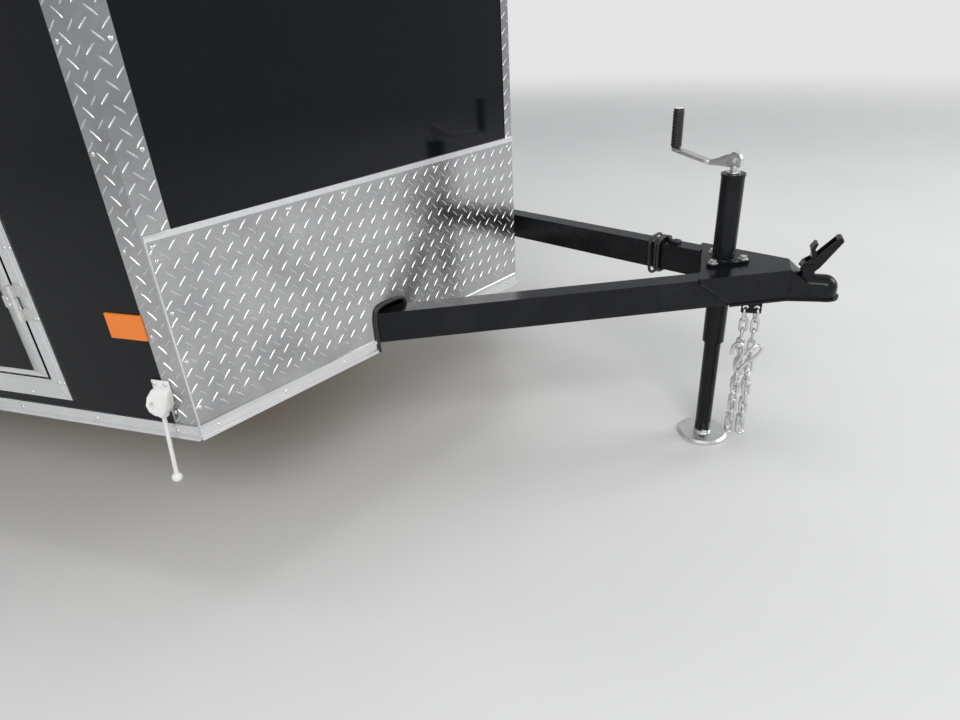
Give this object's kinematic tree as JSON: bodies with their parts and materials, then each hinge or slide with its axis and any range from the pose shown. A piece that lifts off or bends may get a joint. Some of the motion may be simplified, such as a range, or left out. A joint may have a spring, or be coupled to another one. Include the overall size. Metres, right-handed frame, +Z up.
{
  "type": "enclosed cargo trailer",
  "caption": "Enclosed V-nose cargo trailer with a side door, double rear doors, turning wheels, a sliding tongue jack and a ball coupler.",
  "frame": {"origin": "on the ground under the middle of the trailer's length and width", "axes": "+X forward to the coupler, +Y to the trailer's left, +Z up"},
  "size_m": [4.968, 2.305, 2.4402],
  "materials": {
    "gloss_black_skin": "gloss",
    "black_frame_paint": "satin",
    "tread_plate": "bright",
    "bright_trim": "bright",
    "zinc": "plated",
    "white_wheel_paint": "gloss",
    "floor_board": "matt",
    "tyre_rubber": "matt",
    "black_rubber": "matt",
    "white_plastic": "matt",
    "amber_lens": "gloss",
    "red_lens": "gloss",
    "roof_sheet": "satin",
    "cord_black": "satin"
  },
  "bodies": {
    "trailer": {"frame_rails": "black_frame_paint", "tongue_tubes": "black_frame_paint", "cross_members": "black_frame_paint", "floor": "floor_board", "wall_left": "gloss_black_skin", "wall_right": "gloss_black_skin", "nose_wall_right": "gloss_black_skin", "nose_wall_left": "gloss_black_skin", "roof": "roof_sheet", "rear_frame": "gloss_black_skin", "leaf_springs": "black_frame_paint", "spring_mounts": "black_frame_paint", "axle_beam": "black_frame_paint", "fenders": "bright_trim", "corner_strips": "tread_plate", "stone_guards": "tread_plate", "edge_trims": "bright_trim", "tube_seals": "black_rubber", "side_door_frame": "bright_trim", "fixed_hinges": "zinc", "coupler_latch": "black_frame_paint", "coupler": "black_frame_paint", "safety_chains": "zinc", "jack_tube": "black_frame_paint", "jack_crank": "zinc", "jack_grip": "black_rubber", "door_holdback": "white_plastic", "amber_lenses": "amber_lens", "red_lenses": "red_lens", "side_vents": "white_plastic", "cord_coil": "cord_black", "cord_plug": "cord_black", "cord_gland": "black_rubber"},
    "wheel_left": {"tyre_left": "tyre_rubber", "rim_left": "white_wheel_paint", "hub_left": "zinc"},
    "wheel_right": {"tyre_right": "tyre_rubber", "rim_right": "white_wheel_paint", "hub_right": "zinc"},
    "side_door": {"side_door": "gloss_black_skin", "side_door_fittings": "zinc"},
    "rear_door_left": {"rear_door_left": "gloss_black_skin", "rear_fittings_left": "zinc"},
    "rear_door_right": {"rear_door_right": "gloss_black_skin", "rear_fittings_right": "zinc"},
    "jack_leg": {"jack_leg": "black_frame_paint", "jack_foot": "zinc"}
  },
  "joints": [
    {"name": "wheel_left_spin", "type": "hinge", "parent": "trailer", "child": "wheel_left", "pos_m": [-0.88, 1.047, 0.343], "axis": [0, 1, 0], "continuous": true},
    {"name": "wheel_right_spin", "type": "hinge", "parent": "trailer", "child": "wheel_right", "pos_m": [-0.88, -1.047, 0.343], "axis": [0, 1, 0], "continuous": true},
    {"name": "side_door_swing", "type": "hinge", "parent": "trailer", "child": "side_door", "pos_m": [0.8765, -0.9258, 1.2], "axis": [0, 0, 1], "range_deg": [0, 170]},
    {"name": "rear_door_left_swing", "type": "hinge", "parent": "trailer", "child": "rear_door_left", "pos_m": [-2.452, 0.9105, 1.2], "axis": [0, 0, -1], "range_deg": [0, 260]},
    {"name": "rear_door_right_swing", "type": "hinge", "parent": "trailer", "child": "rear_door_right", "pos_m": [-2.452, -0.9105, 1.2], "axis": [0, 0, 1], "range_deg": [0, 260]},
    {"name": "jack_leg_slide", "type": "slide", "parent": "trailer", "child": "jack_leg", "axis": [0, 0, 1], "range_m": [-0.096, 0.285]}
  ]
}
